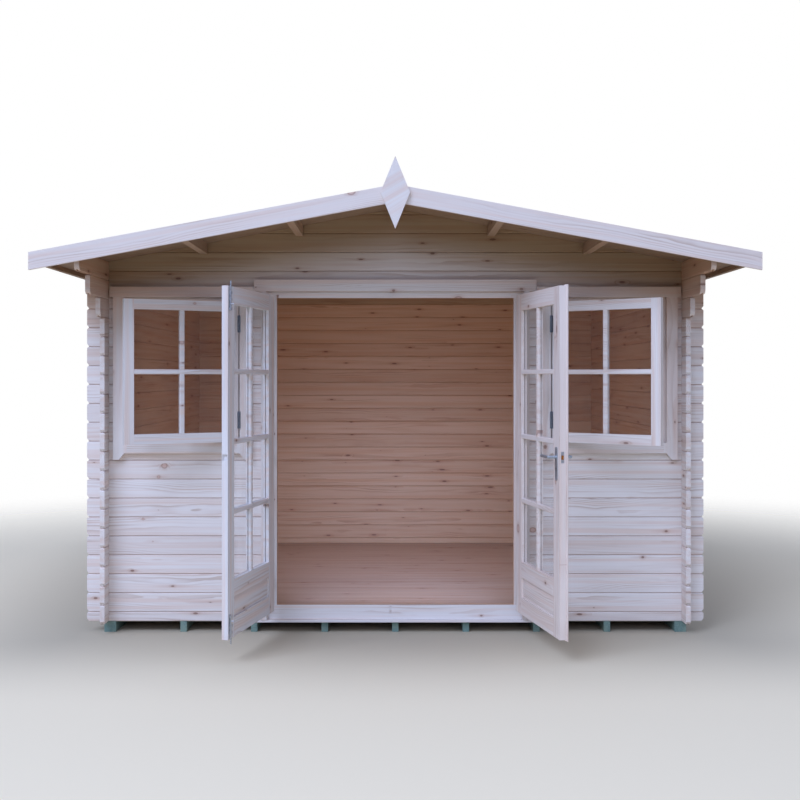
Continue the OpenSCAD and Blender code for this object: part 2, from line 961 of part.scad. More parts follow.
// The strip on the right leaf laps the left leaf's edge and is rebated to stay clear of it.
module leaf_strip() {
    face = leaf_out_y - joint_gap;
    run_past = 6;
    ease = (strip_t - strip_gap) / 2;
    color(pine)
        along_z(-run_past, leaf_h + run_past)
            polygon([
                [free_x - strip_lap, face - strip_t + ease], [free_x - strip_lap + ease, face - strip_t],
                [free_x - strip_lap + strip_w - ease, face - strip_t],
                [free_x - strip_lap + strip_w, face - strip_t + ease],
                [free_x - strip_lap + strip_w, face], [free_x, face],
                [free_x, leaf_out_y - strip_gap], [free_x - strip_lap, leaf_out_y - strip_gap]
            ]);
}

module left_leaf() {
    color(pine)
        at_left_hinge()
            difference() {
                leaf_timber();
                latch_pocket();
            }
}

module right_leaf() {
    color(pine)
        at_right_hinge()
            difference() {
                leaf_timber();
                lock_recess(joint_gap);
            }
}

// Window pieces are drawn for the right window and mirrored for the left one.
module window_frame() {
    y0 = front_y + stop_gap;
    y1 = front_y + frame_back;
    post = window_frame_w;
    rail_x0 = window_in + post + joint_gap;
    rail_x1 = window_out - post - joint_gap;
    head_low = base_z + sash_top - sash_lap;
    sill_high = base_z + sash_foot + sash_lap;
    color(pine) {
        block([window_in, y0, window_low], [window_in + post, y1, window_high - joint_gap]);
        block([window_out - post, y0, window_low], [window_out, y1, window_high - joint_gap]);
        block([rail_x0, y0, window_low], [rail_x1, y1, sill_high]);
        block([rail_x0, y0, head_low], [rail_x1, y1, window_high - joint_gap]);
    }
}

// Upright face board beside a window, drawn from the window's middle, with a corner cut from its foot.
module window_upright() {
    near = window_casing_out - window_x;
    foot_z = window_sill_z - window_sill_h - casing_foot;
    top = window_head_z - joint_gap;
    polygon([
        [near + casing_cut, foot_z], [near + window_casing_w, foot_z], [near + window_casing_w, top],
        [near, top], [near, foot_z + casing_foot]
    ]);
}

module window_casing() {
    out = window_casing_in - window_casing_w;
    color(pine)
        along_y(front_y - casing_proud, front_y - joint_gap) {
            translate([window_x, 0])
                both_sides()
                    window_upright();
            translate([out - window_head_side, window_head_z])
                square([2 * (window_x - out + window_head_side), window_head_h]);
            translate([window_casing_in + joint_gap, window_sill_z - window_sill_h])
                square([window_casing_out - window_casing_in - 2 * joint_gap, window_sill_h]);
        }
}

// Puts a sash, drawn shut with its hinge line at the origin and its body towards +X, in its place.
module at_sash_hinge(ajar) {
    translate([sash_axis_x, sash_axis_y, base_z + sash_foot])
        rotate([0, 0, -ajar])
            children();
}

sash_x0 = sash_gap / 2;
sash_x1 = sash_x0 + sash_w;
sash_y0 = sash_axis_front;
sash_y1 = sash_axis_front + sash_t;
sash_pane_x0 = sash_x0 + sash_member;
sash_pane_x1 = sash_x1 - sash_member;
sash_pane_z1 = sash_h - sash_member;
sash_mid_y = (sash_y0 + sash_y1) / 2;

module sash_timber() {
    g = groove + joint_gap;
    glass_half = glass_t / 2 + joint_gap;
    sash_rows = 2;
    difference() {
        union() {
            block([sash_x0, sash_y0, 0], [sash_pane_x0, sash_y1, sash_h]);
            block([sash_pane_x1, sash_y0, 0], [sash_x1, sash_y1, sash_h]);
            for (z = [0, sash_pane_z1])
                block(
                    [sash_pane_x0 + joint_gap, sash_y0, z],
                    [sash_pane_x1 - joint_gap, sash_y1, z + sash_member]
                );
        }
        block(
            [sash_pane_x0 - g, sash_mid_y - glass_half, sash_member - g],
            [sash_pane_x1 + g, sash_mid_y + glass_half, sash_pane_z1 + g]
        );
    }
    both_lattices(
        sash_pane_x0, sash_pane_x1, sash_member, sash_pane_z1, sash_y0, sash_y1, sash_mid_y, sash_rows
    );
}

module sash(ajar) {
    color(pine)
        at_sash_hinge(ajar)
            sash_timber();
}

module sash_glass(ajar) {
    color(glass)
        at_sash_hinge(ajar)
            block(
                [sash_pane_x0 - groove, sash_mid_y - glass_t / 2, sash_member - groove],
                [sash_pane_x1 + groove, sash_mid_y + glass_t / 2, sash_pane_z1 + groove]
            );
}

// Butterfly hinges: one plate on the upright board, a barrel, and one plate on the sash's face.
module sash_hinges(ajar) {
    tall = sash_hinge_h;
    past = 2;
    reach = sash_gap / 2 + 1 + sash_hinge_w;
    radius = sash_axis_front - joint_gap - plate_t / 4;
    board_y = sash_t + sash_axis_front - casing_proud - joint_gap;
    color(steel)
        for (z = [sash_hinge_inset - tall / 2, sash_h - sash_hinge_inset - tall / 2]) {
            at_sash_hinge(0)
                translate([0, 0, z]) {
                    translate([0, 0, -past])
                        cylinder(r = radius, h = tall + 2 * past);
                    block([-reach, board_y - plate_t, 0], [-radius / 4, board_y, tall]);
                }
            at_sash_hinge(ajar)
                translate([0, 0, z])
                    block(
                        [radius / 4, sash_y0 - joint_gap - plate_t, 0],
                        [reach, sash_y0 - joint_gap, tall]
                    );
        }
}

floor_bearers();
edge_bearers();
floor_boards();  // floor
front_wall_left();
front_wall_right();
front_gable();
back_wall();
back_gable();
left_wall();
right_wall();
purlins();
left_roof();
right_roof();
eaves_trims();
front_bargeboards();
back_bargeboards();
finial();
door_frame();
door_sill();
door_threshold();
door_casing();
mirror([1, 0, 0]) frame_hinges();  // left_hinge_pins
frame_hinges();  // right_hinge_pins
mirror([1, 0, 0]) window_frame();  // left_window_frame
mirror([1, 0, 0]) window_casing();  // left_window_casing
mirror([1, 0, 0]) sash(left_ajar);  // left_sash
mirror([1, 0, 0]) sash_glass(left_ajar);  // left_sash_glass
mirror([1, 0, 0]) sash_hinges(left_ajar);  // left_sash_hinges
window_frame();  // right_window_frame
window_casing();  // right_window_casing
sash(right_ajar);  // right_sash
sash_glass(right_ajar);  // right_sash_glass
sash_hinges(right_ajar);  // right_sash_hinges
left_leaf();
at_left_hinge() leaf_panel();  // left_leaf_panel
at_left_hinge() leaf_glass();  // left_leaf_glass
at_left_hinge() leaf_hinges();  // left_leaf_hinges
at_left_hinge() leaf_bolts();  // left_leaf_bolts
right_leaf();
at_right_hinge() leaf_panel();  // right_leaf_panel
at_right_hinge() leaf_glass();  // right_leaf_glass
at_right_hinge() leaf_hinges();  // right_leaf_hinges
at_right_hinge() leaf_handles();  // right_leaf_handles
at_right_hinge() leaf_lock();  // right_leaf_lock
at_right_hinge() leaf_strip();  // right_leaf_strip
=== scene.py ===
# Log cabin, dressed for its portrait: bare pine logs, boards and joinery on green bearers, with glass
# and metalwork.
import math

import bmesh
import bpy
from mathutils import Matrix, Vector


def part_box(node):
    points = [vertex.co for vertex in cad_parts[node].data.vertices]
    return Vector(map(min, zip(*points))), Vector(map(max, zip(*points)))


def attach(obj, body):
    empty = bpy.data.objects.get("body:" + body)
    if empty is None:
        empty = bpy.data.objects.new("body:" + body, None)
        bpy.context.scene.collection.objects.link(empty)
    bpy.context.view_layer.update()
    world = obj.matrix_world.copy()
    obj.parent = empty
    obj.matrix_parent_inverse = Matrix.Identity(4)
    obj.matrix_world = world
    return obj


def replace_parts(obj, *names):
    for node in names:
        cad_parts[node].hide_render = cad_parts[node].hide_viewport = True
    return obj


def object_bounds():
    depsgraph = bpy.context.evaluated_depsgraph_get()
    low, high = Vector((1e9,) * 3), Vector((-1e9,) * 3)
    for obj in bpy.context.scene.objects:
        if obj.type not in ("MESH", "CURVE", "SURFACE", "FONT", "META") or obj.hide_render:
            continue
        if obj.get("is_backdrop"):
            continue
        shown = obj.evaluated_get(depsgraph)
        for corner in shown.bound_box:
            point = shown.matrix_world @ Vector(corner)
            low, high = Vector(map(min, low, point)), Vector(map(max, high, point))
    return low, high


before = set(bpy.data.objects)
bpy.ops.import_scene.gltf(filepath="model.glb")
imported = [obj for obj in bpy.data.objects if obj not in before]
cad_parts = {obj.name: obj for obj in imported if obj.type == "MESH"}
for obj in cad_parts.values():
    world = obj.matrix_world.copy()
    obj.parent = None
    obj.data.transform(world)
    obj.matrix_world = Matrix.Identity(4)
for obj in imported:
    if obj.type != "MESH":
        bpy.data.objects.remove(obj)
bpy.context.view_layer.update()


# Bearers: sawn softwood battens, pressure treated to a dull blue-green. They lie front to back on the
# ground, under the floor and under the side walls, and only the cabin's weight holds them.
class Shade:
    """An output of a material's nodes. Sums written with it add Math nodes to that material."""

    def __init__(self, tree, socket):
        self.tree = tree
        self.socket = socket

    def node(self, kind, settings, sockets, output=0):
        made = self.tree.nodes.new("ShaderNode" + kind)
        for key, value in settings.items():
            setattr(made, key, value)
        for key, value in sockets.items():
            if isinstance(value, Shade):
                self.tree.links.new(value.socket, made.inputs[key])
            else:
                made.inputs[key].default_value = value
        return Shade(self.tree, made.outputs[output])

    def maths(self, operation, *values):
        return self.node("Math", {"operation": operation}, dict(enumerate((self, *values))))

    def __add__(self, other):
        return self.maths("ADD", other)

    __radd__ = __add__

    def __mul__(self, other):
        return self.maths("MULTIPLY", other)

    __rmul__ = __mul__

    def __sub__(self, other):
        return self.maths("SUBTRACT", other)

    def __rsub__(self, other):
        return self * -1 + other

    def __truediv__(self, other):
        return self.maths("DIVIDE", other)

    def __abs__(self):
        return self.maths("ABSOLUTE")

    def parts(self):
        return [self.node("SeparateXYZ", {}, {0: self}, i) for i in range(3)]

    def spot(self, x, y, z):
        return self.node("CombineXYZ", {}, {0: x, 1: y, 2: z})

    def noise(self, spot, detail=2.0, rough=0.5):
        sockets = {"Vector": spot, "Scale": 1.0, "Detail": detail, "Roughness": rough}
        return self.node("TexNoise", {}, sockets)

    def rise(self, low, high):
        settings = {"interpolation_type": "SMOOTHSTEP"}
        return self.node("MapRange", settings, {"Value": self, "From Min": low, "From Max": high})

    def mix(self, colour, other):
        ends = [c if isinstance(c, Shade) else (*c, 1.0) for c in (colour, other)]
        return self.node("Mix", {"data_type": "RGBA"}, {0: self, 6: ends[0], 7: ends[1]}, 2)

    def bump(self, strength, height):
        return self.node("Bump", {}, {"Strength": strength, "Distance": height, "Height": self})


def new_finish(name):
    made = bpy.data.materials.new(name)
    made.use_nodes = True
    place = made.node_tree.nodes.new("ShaderNodeTexCoord").outputs["Object"]
    return made, Shade(made.node_tree, place)


def lay_on(made, sockets):
    shader = made.node_tree.nodes["Principled BSDF"]
    for key, value in sockets.items():
        if isinstance(value, Shade):
            made.node_tree.links.new(value.socket, shader.inputs[key])
        else:
            shader.inputs[key].default_value = value


def dress(made, *nodes):
    for node in nodes:
        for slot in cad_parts[node].material_slots:
            slot.material = made


def treated_timber(name):
    made, place = new_finish(name)
    x, y, z = place.parts()
    fibre = place.noise(place.spot(x * 240, y * 5, z * 240), 3.0)
    patch = place.noise(place.spot(x * 9, y * 1.6, z * 14))
    saw = place.noise(place.spot(x * 30, y * 190, z * 30), 1.0)
    tone = fibre.rise(0.3, 0.75).mix((0.12, 0.2, 0.185), (0.24, 0.36, 0.31))
    tone = (patch.rise(0.42, 0.72) * 0.6).mix(tone, (0.28, 0.37, 0.29))
    lay_on(made, {
        "Base Color": tone,
        "Roughness": 0.7 + 0.2 * fibre,
        "Normal": (fibre + saw * 0.5).bump(0.5, 0.001),
    })
    return made


dress(treated_timber("treated_bearer"), "floor_bearers", "edge_bearers")


# Floor: planed pine boards 115 mm wide, laid left to right over the bearers and nailed down. Their
# upper edges are eased a little, which leaves a fine dark line between one board and the next.
warm_band = (0.79, 0.635, 0.55)
knot_smear = (0.5, 0.26, 0.16)
knot_halo = (0.42, 0.2, 0.11)
dark_knot = (0.2, 0.095, 0.06)
pale_knot = (0.68, 0.44, 0.36)
eye_rim = (0.36, 0.18, 0.13)
joint_shade = (0.38, 0.21, 0.15)


def pine(
    name, lie, seed, pale=(0.865, 0.82, 0.79), late=(0.5, 0.35, 0.265), tone_spread=1.0, joint=None,
    painted_shade=(0.75, 0.53, 0.35),
):
    """Bare planed pine. lie turns x, y, z into the place along the grain, across and through the
    board, the board's number, and how far the face lies in the shade zone. There the colour is
    multiplied by a darker, warmer painted shade."""
    made, place = new_finish(name)
    along, across, deep, number, shade_amount = lie(*place.parts())
    draw = place.node("TexWhiteNoise", {"noise_dimensions": "1D"}, {"W": number + seed}, "Color")
    luck = [place.node("SeparateColor", {}, {0: draw}, i) for i in range(3)]
    run = along + luck[0] * 37.0
    lane = number * 3.7 + seed
    # Knots: one in many of the cells of a loose grid on the board's face, each with its own size. Most
    # are dark and long, and the eyes among those outside are larger, pale and rimmed.
    cell_run, cell_row, lane_step = 2.6, 15.0, 5.0
    grid = place.spot(run * cell_run, across * cell_row + lane * lane_step, 0.0)
    cells = {"voronoi_dimensions": "2D"}
    links = {"Vector": grid, "Scale": 1.0, "Randomness": 0.9}
    knot_draw = place.node("TexVoronoi", cells, links, "Color")
    knot_luck, knot_kind = [place.node("SeparateColor", {}, {0: knot_draw}, i) for i in range(2)]
    eye = knot_kind.maths("GREATER_THAN", 0.74) * shade_amount.rise(0.3, 0.1)
    knot_place = place.node("TexVoronoi", cells, links, "Position").parts()
    off_along = run - knot_place[0] / cell_run
    off_across = across - (knot_place[1] - lane * lane_step) / cell_row
    size = knot_luck.rise(0.6, 1.0) * (0.8 + 1.1 * eye) + 0.0001
    flat = (off_along * (24.0 + 62.0 * knot_kind * (1.0 - 0.85 * shade_amount))).maths("POWER", 2.0)
    upright = (off_across * 95.0).maths("POWER", 2.0)
    reach = (flat + upright).maths("SQRT") / size
    knot = reach.rise(1.0, 0.55)
    ring_of_knot = reach.rise(2.6, 0.9)
    rim = reach.rise(0.6, 0.9) * reach.rise(1.3, 1.0) * eye
    smear = (flat * 0.02 + upright * 0.5).maths("SQRT").rise(1.1, 0.0) * knot_luck.rise(0.5, 0.8)
    # Growth rings about a pith that lies beside the board and wanders along its length.
    wander = place.noise(place.spot(run * 0.8, lane, 0.0), 1.0)
    ripple = place.noise(place.spot(run * 3.5, across * 14.0, deep * 14.0), 2.0)
    pith_side = (luck[1] - 0.5) * 0.11 + (wander - 0.5) * 0.16
    pith_deep = luck[2] * 0.09 + 0.03
    side = (across - pith_side).maths("POWER", 2.0)
    into = (deep + pith_deep).maths("POWER", 2.0)
    ring = (side + into).maths("SQRT") + (ripple - 0.5) * 0.012 + ring_of_knot * 0.009
    beat = (ring / (0.0055 + 0.004 * luck[0])).maths("FRACT")
    late_wood = beat.rise(0.25, 0.9) * beat.rise(1.0, 0.93)
    streak = place.noise(place.spot(run * 1.6, across * 130.0, deep * 130.0), 3.0, 0.6)
    patch = place.noise(place.spot(run * 1.3, across * 16.0 + lane, deep * 6.0), 1.0)
    band = place.noise(place.spot(run * 0.7, across * 36.0 + lane, deep * 20.0), 2.0)
    depth = late_wood * (0.04 + 0.5 * patch.rise(0.34, 0.76)) + (streak - 0.5) * 0.55
    tone = depth.rise(-0.1, 1.0).mix(pale, late)
    tone = (band.rise(0.42, 0.7) * 0.7).mix(tone, warm_band)
    tone = ((luck[2] - 0.45) * 0.35 * tone_spread).maths("MAXIMUM", 0.0).mix(tone, late)
    tone = (smear * 0.25).mix(tone, knot_smear)
    tone = (ring_of_knot * 0.25).mix(tone, knot_halo)
    tone = (knot * 0.75 * (1.0 - eye)).mix(tone, dark_knot)
    tone = (knot * 0.55 * eye).mix(tone, pale_knot)
    tone = (rim * 0.6).mix(tone, eye_rim)
    # Painted shade in the V joints: the lower edge of each log is darkened, less so in the shade zone.
    if joint:
        joint_shadow = across.rise(0.0055 - joint, 0.001 - joint) * (0.8 - 0.75 * shade_amount)
        tone = joint_shadow.mix(tone, joint_shade)
    # Painted shade: in the shade zone the colour is multiplied by a darker, warmer colour.
    shade_links = {0: shade_amount, 6: tone, 7: (*painted_shade, 1)}
    tone = tone.node("Mix", {"data_type": "RGBA", "blend_type": "MULTIPLY"}, shade_links, 2)
    lay_on(made, {
        "Base Color": tone,
        "Roughness": 0.5 + 0.2 * streak,
        "Normal": (late_wood * 0.4 + streak * 0.5 - knot * 0.4).bump(0.25, 0.0006),
    })
    return made


side_log_x = 1.738
front_log_y = 1.534
front_eave_y = -2.2
roof_fall = 0.185


def shade_zone(x, y, z):
    """Where the pine takes its painted shade: 1 in the room, rising to 1 from low on the walls up to
    the roof's underside, and 0 in the open.
    """
    room = abs(x).maths("LESS_THAN", side_log_x) * abs(y).maths("LESS_THAN", front_log_y)
    under_roof = (z + abs(x) * roof_fall).rise(2.05, 2.5) * y.maths("GREATER_THAN", front_eave_y)
    return room.maths("MAXIMUM", under_roof)


def board_of(across, foot, width):
    number = ((across - foot) / width).maths("FLOOR")
    return across - foot - (number + 0.5) * width, number


def finished_piece(name, shape, made, body):
    mesh = bpy.data.meshes.new(name)
    shape.to_mesh(mesh)
    shape.free()
    mesh.materials.append(made)
    piece = bpy.data.objects.new(name, mesh)
    bpy.context.scene.collection.objects.link(piece)
    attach(piece, body)
    return piece


def ease_edges(shape, corners, ease):
    edges = list(dict.fromkeys(e for v in corners for e in v.link_edges))
    bmesh.ops.bevel(
        shape, geom=edges, offset=ease, offset_type="OFFSET", affect="EDGES",
        segments=1, profile=0.5, material=-1,
    )


def add_board(shape, low, high, ease):
    made = bmesh.ops.create_cube(shape, size=1.0)["verts"]
    size = [b - a for a, b in zip(low, high)]
    middle = [(a + b) / 2 for a, b in zip(low, high)]
    bmesh.ops.scale(shape, vec=size, verts=made)
    bmesh.ops.translate(shape, vec=middle, verts=made)
    ease_edges(shape, made, ease)


floor_low, floor_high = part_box("floor")
floor_rows = 27
floor_board = (floor_high.y - floor_low.y) / floor_rows
floor_line = 0.0012
floor_ease = 0.0015
shape = bmesh.new()
for row in range(floor_rows):
    near = floor_low.y + row * floor_board
    add_board(
        shape,
        (floor_low.x, near + floor_line / 2, floor_low.z),
        (floor_high.x, near + floor_board - floor_line / 2, floor_high.z),
        floor_ease,
    )


def along_floor(x, y, z):
    across, number = board_of(y, floor_low.y, floor_board)
    return x, across, z, number, shade_zone(x, y, z)


# Inside the room the floor boards get a greyer, darker painted shade.
floor_pine = pine("floor_pine", along_floor, 3.1, painted_shade=(0.56, 0.46, 0.4))
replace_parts(finished_piece("floor_boards", shape, floor_pine, "cabin"), "floor")


# Front and back walls: planed logs 28 mm thick, each tongued into the one above with a V along the
# joint, notched over the side walls' logs and left to run past them at the corners.
log_pitch = 0.114
wall_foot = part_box("front_wall_left")[0].z


def along_front(x, y, z):
    across, number = board_of(z, wall_foot - log_pitch / 2, log_pitch)
    return x, across, abs(y) - front_log_y, number + y.maths("SIGN") * 40.0, shade_zone(x, y, z)


front_log = pine("front_log_pine", along_front, 11.3, joint=log_pitch / 2)
dress(front_log, "front_wall_left", "front_wall_right", "back_wall")
# The gables get a darker painted shade than the walls below them.
gable_log = pine("gable_log_pine", along_front, 11.3, joint=log_pitch / 2, painted_shade=(0.52, 0.385, 0.23))
dress(gable_log, "front_gable", "back_gable")


# Side walls: the same logs set half a course lower, with the top three stepping out in front as
# corbels that carry the overhanging roof. On faces turned to the front the painted shade is halved,
# so their front ends show paler than their faces, as painted light.
def along_side(x, y, z):
    across, number = board_of(z, wall_foot, log_pitch)
    facing = x.node("TexCoord", {}, {}, "Normal").parts()[1]
    painted_shade = shade_zone(x, y, z) * (1.0 - 0.5 * facing.maths("LESS_THAN", -0.5))
    return y, across, abs(x) - side_log_x, number + x.maths("SIGN") * 60.0, painted_shade


dress(pine("side_log_pine", along_side, 23.9, joint=log_pitch / 2), "left_wall", "right_wall")


# Purlins: a ridge timber and two a side, square sawn and planed, let into both gables and running out
# to the front bargeboards.
purlin_step = 0.25
purlin_z = 2.4


def along_purlin(x, y, z):
    number = (x / purlin_step).maths("ROUND")
    return y, z - purlin_z, x - number * purlin_step, number, shade_zone(x, y, z)


# The purlins are multiplied by their own painted shade colour where the shade zone reaches them.
dress(pine("purlin_pine", along_purlin, 41.2, painted_shade=(0.6, 0.44, 0.3)), "purlins")


# Roof: tongued boards 19 mm thick from the ridge down to the eaves, nailed to the purlins and the
# side walls' top logs. They are bare, and their joints show as V lines under the overhang.
roof_rows = 35
roof_line = 0.0012
roof_ease = 0.0028
roof_underside = 2.55
slope_length = 1.017
# A dark, warm painted shade for the roof's underside and the eaves trims.
eaves_painted_shade = (0.46, 0.33, 0.22)
roof_low, roof_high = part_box("left_roof")
roof_board = (roof_high.y - roof_low.y) / roof_rows


def along_roof(x, y, z):
    across, number = board_of(y, roof_low.y, roof_board)
    deep = z + abs(x) * roof_fall - roof_underside
    # Painted shade on the boards' undersides.
    underside_shade = deep.rise(0.013, 0.007)
    return abs(x) * slope_length, across, deep, number + x.maths("SIGN") * 90.0, underside_shade


roof_pine = pine("roof_pine", along_roof, 57.4, painted_shade=eaves_painted_shade)
for side in ("left", "right"):
    low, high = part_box(side + "_roof")
    eave, ridge = (low.x, high.x) if side == "left" else (high.x, low.x)
    drop = roof_fall * abs(eave - ridge)
    shape = bmesh.new()
    for row in range(roof_rows):
        near = low.y + row * roof_board + roof_line / 2
        corners = [(eave, low.z), (ridge, low.z + drop), (ridge, high.z), (eave, high.z - drop)]
        outline = [shape.verts.new((x, near, z)) for x, z in corners]
        face = shape.faces.new(outline)
        made = bmesh.ops.extrude_face_region(shape, geom=[face])["geom"]
        far = [v for v in made if isinstance(v, bmesh.types.BMVert)]
        bmesh.ops.translate(shape, vec=(0, roof_board - roof_line, 0), verts=far)
        ease_edges(shape, outline + far, roof_ease)
    bmesh.ops.recalc_face_normals(shape, faces=shape.faces)
    boards = finished_piece(side + "_roof_boards", shape, roof_pine, "cabin")
    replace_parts(boards, side + "_roof")


# Bargeboards, eaves trims and the diamond board: planed pine nailed over the ends of the roof boards
# and purlins. The bargeboards follow the slope and meet under the diamond.
front_barge_y, back_barge_y = -2.213, 1.758
barge_ridge = 2.53


def along_barge(x, y, z):
    front = y.maths("LESS_THAN", 0.0)
    return (
        abs(x) - z * roof_fall,
        z + abs(x) * roof_fall - barge_ridge,
        y - front * front_barge_y - (1.0 - front) * back_barge_y,
        x.maths("SIGN") + front * 3.0,
        0.0 * x,
    )


trim_x, trim_z = 1.97, 2.2
trim_inner_face = 1.9625
trim_underside = 2.5215


def along_trim(x, y, z):
    # Painted shade on the trims' undersides and on their parts within the inner face.
    underside_shade = (z + abs(x) * roof_fall).rise(trim_underside + 0.001, trim_underside)
    within = abs(x).maths("LESS_THAN", trim_inner_face)
    return y, z - trim_z, abs(x) - trim_x, x.maths("SIGN"), underside_shade.maths("MAXIMUM", within)


diamond_y, diamond_middle = -2.2336, 2.16
grain_run, grain_climb = 0.87, 0.5


def along_diamond(x, y, z):
    along = grain_run * x + grain_climb * z
    across = grain_run * z - grain_climb * x - diamond_middle
    return along, across, y - diamond_y, 0.0 * x, 0.0 * x


barge_pine = pine("bargeboard_pine", along_barge, 71.6, pale=(0.81, 0.735, 0.685), tone_spread=0.3)
dress(barge_pine, "front_bargeboards", "back_bargeboards")
dress(pine("eaves_pine", along_trim, 77.0, painted_shade=eaves_painted_shade), "eaves_trims")
finial_pine = pine(
    "finial_pine", along_diamond, 88.1,
    pale=(0.82, 0.77, 0.73), late=(0.66, 0.55, 0.48), tone_spread=0.3,
)
dress(finial_pine, "finial")


# Doorway: posts with stops, a header, a sill board and a threshold strip, all of planed pine,
# screwed into the cut ends of the logs, with a hinge board on each post and a face board over the head.
front_face_y = -1.55
post_inner, post_middle = 0.7, 0.8
post_top, header_middle = 2.03, 2.05
sill_middle = 0.13


def along_doorway(x, y, z):
    upright = z.maths("LESS_THAN", post_top) * abs(x).maths("GREATER_THAN", post_inner)
    flat = 1.0 - upright
    return (
        z * upright + x * flat,
        (abs(x) - post_middle) * upright + (z - header_middle) * flat,
        y - front_face_y,
        x.maths("SIGN") * upright * 3.0 + flat * 7.0,
        shade_zone(x, y, z),
    )


def along_sill(x, y, z):
    return x, z - sill_middle, y - front_face_y, 0.0 * x, shade_zone(x, y, z)


# The doorway's pine is set a little darker than the walls' pine, as painted shade.
dress(pine("doorway_pine", along_doorway, 91.8, pale=(0.8, 0.76, 0.735)), "door_frame", "door_casing")
dress(pine("sill_pine", along_sill, 95.2, pale=(0.79, 0.76, 0.745)), "door_sill", "door_threshold")


# Door leaves: pine stiles and rails with glazing bars tenoned between them, four rows of two panes over
# a fielded panel. They hang on loose-pin hinges at the outer stiles and open outwards.
leaf_axis_x, leaf_axis_y, leaf_foot = 0.76, -1.586, 0.136
right_leaf_turn, left_leaf_turn = 101.4, -102.7
leaf_stile_in, leaf_stile_out = 0.1005, 0.6625
outer_stile_middle, free_stile_middle = 0.05, 0.71
leaf_middle = 0.4
rail_step = 0.2


def hung_place(x, y, z, corner, turn):
    """The place on a hung piece, counted from its hinge's foot and turned back to the wall."""
    place = x.spot(x, y, z)
    links = {"Vector": place, "Location": corner, "Rotation": (0, 0, math.radians(turn))}
    return place.node("Mapping", {"vector_type": "TEXTURE"}, links).parts()


def along_leaf(hand, turn):
    def lie(x, y, z):
        u, v, w = hung_place(x, y, z, (hand * leaf_axis_x, leaf_axis_y, leaf_foot), turn)
        u = u * -hand
        stile = 1.0 - u.maths("GREATER_THAN", leaf_stile_in) * u.maths("LESS_THAN", leaf_stile_out)
        rail = 1.0 - stile
        outer = u.maths("LESS_THAN", leaf_middle)
        level = (w / rail_step).maths("ROUND")
        off_stile = u - outer * outer_stile_middle - (1.0 - outer) * free_stile_middle
        return (
            w * stile + u * rail,
            off_stile * stile + (w - level * rail_step) * rail,
            v,
            stile * outer * 2.0 + stile * 5.0 + rail * (level + 11.0),
            0.0 * x,
        )
    return lie


# Both leaves are the same pine: the right leaf's warmer pale tone is painted warm reflected light, and
# the left leaf's greyer, bluer one is painted shade.
right_leaf_pine = pine(
    "right_leaf_pine", along_leaf(1, right_leaf_turn), 101.5,
    pale=(0.865, 0.785, 0.735), tone_spread=0.4,
)
left_leaf_pine = pine(
    "left_leaf_pine", along_leaf(-1, left_leaf_turn), 111.9,
    pale=(0.79, 0.78, 0.785), tone_spread=0.4,
)
dress(right_leaf_pine, "right_leaf", "right_leaf_panel", "right_leaf_strip")
dress(left_leaf_pine, "left_leaf", "left_leaf_panel")


# Glass: clear float panes 4 mm thick, held in grooves of the leaves and the sashes. A faint haze in
# patches is all that shows on them.
def clear_glass(name):
    made, place = new_finish(name)
    x, y, z = place.parts()
    haze = place.noise(place.spot(x * 7, y * 7, z * 5), 3.0)
    lay_on(made, {
        "Base Color": (0.16, 0.19, 0.21, 1),
        "Roughness": 0.02 + 0.05 * haze.rise(0.45, 0.8),
        "Alpha": 0.05 + 0.04 * haze.rise(0.4, 0.8),
        "IOR": 1.5,
    })
    return made


glass = clear_glass("pane_glass")
dress(glass, "left_leaf_glass", "right_leaf_glass", "left_sash_glass", "right_sash_glass")


# Metalwork: zinc-plated hinges, pins and tower bolts, darker hinges on the sashes, and brushed lever
# handles, all of steel and screwed to the joinery.
def plated_steel(name, colour, rough, metal=1.0):
    made, place = new_finish(name)
    x, y, z = place.parts()
    brush = place.noise(place.spot(x * 60, y * 60, z * 900), 2.0)
    spangle = place.noise(place.spot(x * 160, y * 160, z * 160), 2.0)
    dull = tuple(c * 0.7 for c in colour)
    lay_on(made, {
        "Base Color": spangle.rise(0.35, 0.7).mix(colour, dull),
        "Roughness": rough + 0.15 * brush,
        "Metallic": metal,
        "Normal": brush.bump(0.1, 0.0002),
    })
    return made


zinc = plated_steel("zinc_plate", (0.6, 0.62, 0.65), 0.32)
dress(
    zinc, "left_leaf_hinges", "right_leaf_hinges", "left_hinge_pins", "right_hinge_pins",
    "left_leaf_bolts",
)
dress(plated_steel("dark_hinge", (0.26, 0.29, 0.33), 0.4), "left_sash_hinges", "right_sash_hinges")
handle_steel = plated_steel("handle_steel", (0.5, 0.55, 0.6), 0.36, 0.7)
dress(handle_steel, "right_leaf_handles")


# Lock: a small steel faceplate let into the free edge of the right leaf. A brass latch stands out of it
# and catches in the left leaf.
right_leaf_run = (0.1977, -0.9803)
lock_plate_face = 0.7576


def lock_metal(name):
    made, place = new_finish(name)
    x, y, z = place.parts()
    rub = place.noise(place.spot(x * 300, y * 300, z * 60), 3.0)
    out = (x - leaf_axis_x) * right_leaf_run[0] + (y - leaf_axis_y) * right_leaf_run[1]
    latch = out.maths("GREATER_THAN", lock_plate_face)
    brass = rub.rise(0.3, 0.75).mix((0.5, 0.17, 0.025), (0.64, 0.28, 0.06))
    steel = rub.rise(0.3, 0.75).mix((0.6, 0.6, 0.63), (0.7, 0.7, 0.72))
    lay_on(made, {
        "Base Color": latch.mix(steel, brass),
        "Roughness": 0.3 + 0.2 * rub,
        "Metallic": 1.0,
        "Normal": rub.bump(0.1, 0.0002),
    })
    return made


dress(lock_metal("lock_metal"), "right_leaf_lock")


